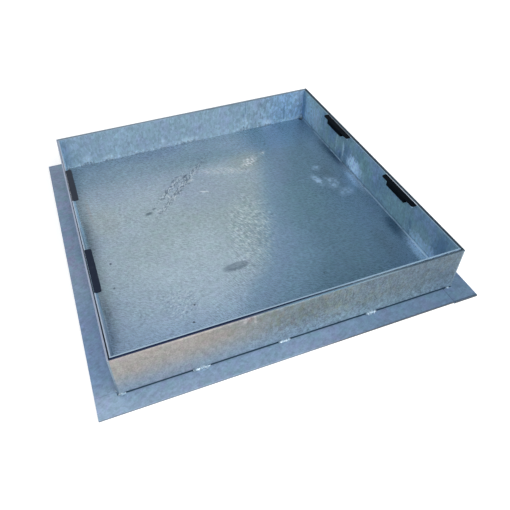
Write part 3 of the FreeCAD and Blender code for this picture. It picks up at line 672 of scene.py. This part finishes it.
    # A painted highlight on the right fold, brightest towards the front.
    curve = z.rise(0.0201, 0.0205) * z.rise(0.0236, 0.0226)
    paler = (broken + y.rise(-0.02, -0.12) * 0.5).least(1.0)
    fold_highlight = f.blend(colour(62, 88, 112), colour(118, 150, 176), paler)
    fold_highlight = f.blend(fold_highlight, colour(160, 194, 220), y.rise(-0.16, -0.21) * 0.8)
    paint = f.blend(paint, fold_highlight, curve * right * 0.85)
    # Painted light high on the left side's outer face, where the wall stands close and the gap would be
    # shaded.
    inside_gap = x.rise(-0.3106, -0.3112) * y.rise(-0.27, -0.2) * z.rise(0.075, 0.095)
    paint = f.blend(paint, painted_gap_light, inside_gap * 0.9)
    # The top edge painted with light and shade: paler at the left, darker at the right, with a painted
    # highlight on the steel past the right plugs.
    top = f.blend(colour(112, 138, 158), colour(154, 168, 186), x.rise(0.0, -0.1))
    top = f.blend(top, colour(232, 238, 246), from_plug.rise(0.056, 0.053) * x.rise(0.3, 0.305))
    paint = f.blend(paint, top, z.rise(0.0988, 0.0995) * 0.8)

    fine = f.cloud(0.0012, 95, detail=3.0)
    rough = 0.28 + (grain - 0.5) * (0.22 - beside * 0.4) + (fine - 0.5) * 0.1
    rough = rough + smudge * 0.15 + bloom * 0.15 + (1 - floor) * 0.2 + curve * 0.3
    scratched = (grain * 0.5 + crystals * 0.15) * floor * (1 - beside * 2)
    height = scratched + runs * (1 - floor) * 0.6 + fine * 0.2
    metal = 0.2 + floor * (1 - curve) * 0.38
    return f.done(paint, rough, height, metal, 0.00012)


def end_finish(name, rim, far_rim):
    """An end plate: pale where zinc ran down to the floor's seam, with dark runs further on, and painted
    light and shade: lighter towards its right end, darker in its left corner, on its top edge, and in the
    front gap.
    """
    f = Finish(name)
    x, z = f.x, f.z
    broad = f.cloud(0.07, 101)
    rag = (f.cloud(0.008, 105, detail=3.0) - 0.5) * 1.4
    paint = f.blend(colour(132, 155, 172), colour(126, 149, 164), broad.rise(0.35, 0.65))
    violet = f.cloud(0.04, 106, stretch=(1, 1, 1.6)).rise(0.5, 0.7)
    paint = f.blend(paint, colour(130, 145, 170), violet * 0.6)
    paint = f.blend(paint, colour(134, 158, 174), z.rise(0.055, 0.03) * 0.5)
    paint = f.blend(paint, colour(122, 156, 186), x.rise(0.18, 0.25) * 0.75)
    # Painted light by the right corner, and painted shade in the left one.
    paint = f.blend(paint, colour(132, 156, 178), x.rise(0.275, 0.29) * z.rise(0.045, 0.075) * 0.6)
    paint = f.blend(paint, colour(98, 126, 150), x.rise(-0.285, -0.307) * 0.5)
    lines = f.cloud(0.009, 107, stretch=(1, 1, 12), detail=2.0).rise(0.62, 0.7) * x.rise(0.1, 0.16)
    paint = f.blend(paint, colour(84, 116, 146), lines * 0.7)
    fringe = f.cloud(0.006, 110, detail=3.0).rise(0.48, 0.62) * z.rise(0.033, 0.024)
    fringe = fringe * (1 - x.rise(0.0, 0.04) * x.rise(0.13, 0.1) * 0.7)
    paint = f.blend(paint, colour(178, 200, 214), fringe * 0.55)
    over_stitches = (
        ((-0.260, 0.036), (0.010, 0.010), 0, 1.0), ((-0.207, 0.030), (0.012, 0.006), 0, 1.0),
        ((-0.071, 0.036), (0.007, 0.009), 0, 1.0), ((-0.005, 0.029), (0.020, 0.006), 0, 1.0),
        ((0.146, 0.040), (0.011, 0.016), 0, 1.0), ((0.211, 0.030), (0.010, 0.006), 0, 1.0))
    paint = f.blend(paint, colour(170, 192, 206), f.marks(x, z, 0.7, rag, over_stitches) * 0.5)
    runs = f.cloud(0.0036, 102, stretch=(1, 1, 4), detail=3.0)
    flakes = f.spangle(0.005, 103, stretch=(1, 1, 1.6))
    fine = f.cloud(0.0024, 104, detail=3.0, rough=0.6)
    paint = f.mottle(paint, 0.013, 108, 0.4)
    blotch = f.cloud(0.009, 109, stretch=(1, 1, 1.6), detail=3.0)
    crisp = 1 + x.rise(0.14, 0.2) * 0.5
    shade = ((runs - 0.5) * 0.5 + (flakes - 0.5) * 0.32 + (fine - 0.5) * 0.5 + (blotch - 0.5) * 0.16) * crisp
    # Painted light, more towards the right end.
    paint = f.tone(paint, (shade + 1.0) * (1.38 + x.rise(0.22, 0.3) * 0.2))
    # The top edge painted with light and shade, paler at the left end.
    top = f.blend(colour(*rim), colour(*far_rim), x.rise(-0.1, 0.1))
    paint = f.blend(paint, top, z.rise(0.0988, 0.0995) * 0.85)
    # Painted shade on the front end's outer face, in the gap between it and the front wall, at the left.
    slope = math.tan(math.radians(tray_turn))
    front_gap_shade = (f.y - x * slope).rise(-0.3161, -0.3164) * x.rise(0.13, -0.02)
    paint = f.blend(paint, colour(14, 44, 92), front_gap_shade * 0.95)
    rough = 0.46 + (runs - 0.5) * 0.2
    return f.done(paint, rough, runs * 0.5 + flakes * 0.3 + fine * 0.4, 0.35, 0.0003)


dress(["tray_pan"], pan_finish())
dress(["tray_end_front"], end_finish("zinc_on_front_end", (160, 182, 200), (140, 168, 190)))
dress(["tray_end_back"], end_finish("zinc_on_back_end", (140, 164, 186), (104, 124, 140)))
dress([f"stiffener_{n}" for n in range(1, 6)], flange_finish())

# The stitches that hold the tray's end plates, under the floor, and the lumps of zinc that came through the
# seam above them and froze on the floor's edge.
end_face, floor_under, floor_top = 0.30985, 0.0175, 0.02
tray_stitch = [laid_bead(f"tray_stitch_model_{n}", 0.024, 0.003, 0.0013, 110 + n) for n in range(2)]
for model in tray_stitch:
    model.rotation_euler = (math.radians(90), 0, 0)
    bpy.ops.object.select_all(action="DESELECT")
    model.select_set(True)
    bpy.context.view_layer.objects.active = model
    bpy.ops.object.transform_apply(rotation=True)
places = (-0.262, -0.209, -0.135, -0.073, -0.002, 0.146, 0.210)
tray_runs = [(n % 2, place, 1.0 - 0.03 * (n % 3)) for n, place in enumerate(places)]
under_floor = (end_face, floor_under)
for side, turn in (("back", 0), ("front", 180)):
    seam = lay_seam(f"tray_stitches_{side}", tray_stitch, tray_runs,
                    turn + tray_turn, tray_centre, under_floor)
    seam.data.materials.append(weld_zinc)
    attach(seam, "root")
    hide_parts(f"tray_weld_{side}")


def frozen_zinc(name, puddles):
    """Low lumps of zinc on the upright face of an end plate: (along, up, half width, half height) each."""
    bpy.ops.object.select_all(action="DESELECT")
    thick = 0.0009
    blobs = []
    for along, up, wide, tall in puddles:
        bpy.ops.mesh.primitive_uv_sphere_add(segments=24, ring_count=14, radius=1, location=(along, 0, up),
                                             scale=(wide, thick * 0.75 + 0.15 * min(wide, tall), tall))
        blobs.append(bpy.context.object)
    return melted(name, blobs, grain=0.0005, smooth=0.5, passes=4, behind=0.0001, crease=50)


def spill(seed, wide, tall, count):
    """Puddles scattered along a stretch of the seam, the largest near its middle."""
    dice = random.Random(seed)
    puddles = []
    for number in range(count):
        share = (number + 0.5) / count * 2 - 1
        fat = 1 - 0.6 * share * share
        along = share * wide / 2 + dice.uniform(-0.08, 0.08) * wide
        up = dice.uniform(0, 0.55) * tall * fat
        half_wide = wide / count * dice.uniform(0.45, 0.8)
        puddles.append((along, up, half_wide, tall * fat * dice.uniform(0.3, 0.6)))
    return puddles


spill_sizes = ((0.030, 0.012, 9), (0.020, 0.007, 6), (0.050, 0.008, 13), (0.026, 0.016, 8))
spills = [frozen_zinc(f"spill_model_{n}", spill(130 + n, *size)) for n, size in enumerate(spill_sizes)]
spots = [(0, -0.261, 1.0), (1, -0.209, 1.0), (1, -0.135, 1.05), (1, -0.073, 0.65),
         (2, -0.002, 1.0), (3, 0.146, 1.0), (1, 0.210, 0.95)]
on_floor = (end_face, floor_top)
for side, turn in (("back", 0), ("front", 180)):
    lumps = lay_seam(f"frozen_zinc_{side}", spills, spots, turn + tray_turn, tray_centre, on_floor)
    lumps.data.materials.append(weld_zinc)
    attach(lumps, "root")

for model in stitch + tray_stitch + spills:
    bpy.data.objects.remove(model)

# The key plugs. Black moulded plastic, a T whose bar is let into a notch in the tray's edge over the lifting
# slot. They are satin and a little dusty, and a strip of steel with a painted highlight shows past the right
# ones.


def plug_finish():
    """Near black, the left ones greyer because they face the light, with dust in drifts."""
    f = Finish("black_moulded_plastic")
    fine = f.cloud(0.0006, 121, detail=2.0)
    dust = f.cloud(0.006, 122, detail=4.0, rough=0.6).rise(0.52, 0.8)
    left = f.x.rise(0.05, -0.05)
    paint = f.blend(colour(31, 39, 55), colour(48, 54, 65), f.y.rise(-0.05, 0.05))
    paint = f.blend(colour(4, 9, 16), paint, left)
    paint = f.blend(paint, f.blend(colour(22, 28, 34), colour(66, 72, 84), left), dust * 0.5)
    # A painted highlight on the steel edge that shows past the right plugs.
    paint = f.blend(paint, colour(206, 220, 236), f.x.rise(0.3118, 0.3124) * f.z.rise(0.0975, 0.099) * 0.9)
    rough = 0.55 + dust * 0.2 + (fine - 0.5) * 0.2
    f.shader.inputs["Specular IOR Level"].default_value = 0.05
    return f.done(paint, rough, fine, 0.0, 0.0001)


dress([f"key_plug_{side}_{end}" for side in ("left", "right") for end in ("front", "back")], plug_finish())

# The ground, the light and the camera. A plain white floor and sky, a dark blue sheet over one side of the
# sky that the tray's floor mirrors, one broad lamp in front, and the camera at the photograph's place.
bpy.ops.mesh.primitive_plane_add(size=40, location=(0, 0, 0))
ground = bpy.context.object
ground.name = "ground"
ground_white = Finish("ground_white")
matt = {"Base Color": (0.9, 0.9, 0.9, 1), "Roughness": 1.0, "Specular IOR Level": 0.0}
ground_white.feed(ground_white.shader.inputs, matt)
to_eye, mirrored, through = (ground_white.node("ShaderNodeLightPath", {}, {}, kind)
                             for kind in ("Is Camera Ray", "Is Glossy Ray", "Is Transmission Ray"))
glow = ground_white.node("ShaderNodeEmission", {}, {"Strength": to_eye.most(mirrored).most(through) * 0.3})
plain = Wire(ground_white, ground_white.shader.outputs[0])
lit = ground_white.node("ShaderNodeAddShader", {}, {0: plain, 1: glow})
ground_white.feed(ground_white.tree.nodes["Material Output"].inputs, {"Surface": lit})
ground.data.materials.append(ground_white.material)


class Sky(Finish):
    """The world, with the same way to add nodes."""

    def __init__(self):
        self.world = bpy.data.worlds.new("studio")
        self.world.use_nodes = True
        self.tree = self.world.node_tree
        self.shader = self.tree.nodes["Background"]
        self.x, self.y, self.z = self.split(self.node("ShaderNodeTexCoord", {}, {}, "Generated"))


# The sheet spans these bearings, in degrees from straight ahead, and leaves the top of the sky free. What
# the camera itself sees stays white.
sky = Sky()
bpy.context.scene.world = sky.world
bearing = sky.x.math("ARCTAN2", sky.y) * (180 / math.pi)
seen = sky.node("ShaderNodeLightPath", {}, {}, "Is Camera Ray")
seen = seen.most(sky.node("ShaderNodeLightPath", {}, {}, "Is Transmission Ray"))
high = sky.z.rise(0.97, 0.85)
shut = bearing.rise(21.5, 28) * bearing.rise(95, 70) * high
behind = abs(bearing).rise(75, 45) * high
level = 0.78 + behind * 0.3 - shut * 0.7
level = seen + (1 - seen) * level
sheet = sky.blend((1, 1, 1, 1), (0.5, 0.8, 1.0, 1), shut * (1 - seen))
sky.feed(sky.shader.inputs, {"Color": sheet, "Strength": level})

# A broad soft lamp in front, which faces the object's middle.
panel = bpy.data.lights.new("front_lamp", "AREA")
panel.shape = "RECTANGLE"
panel.size, panel.size_y = 2.4, 2.0
panel.energy = 60
lamp = bpy.data.objects.new("front_lamp", panel)
bpy.context.scene.collection.objects.link(lamp)
right, ahead, up = 0.7, 2.4, 1.9
lamp.location = (right, -ahead, up)
lamp.rotation_euler = (math.atan2(math.hypot(right, ahead), up), 0, math.atan2(right, ahead))

eye = bpy.data.cameras.new("camera")
eye.sensor_width = 36
eye.lens = 36.802
eye.shift_x = 0.04465
eye.shift_y = -0.02414
eye.clip_start = 0.01
camera = bpy.data.objects.new("camera", eye)
bpy.context.scene.collection.objects.link(camera)
camera.location = (-0.27746, -0.79199, 0.75788)
camera.rotation_euler = [math.radians(a) for a in (45.744, 1.154, -20.2605)]
bpy.context.scene.camera = camera
bpy.context.scene.view_settings.view_transform = "Standard"
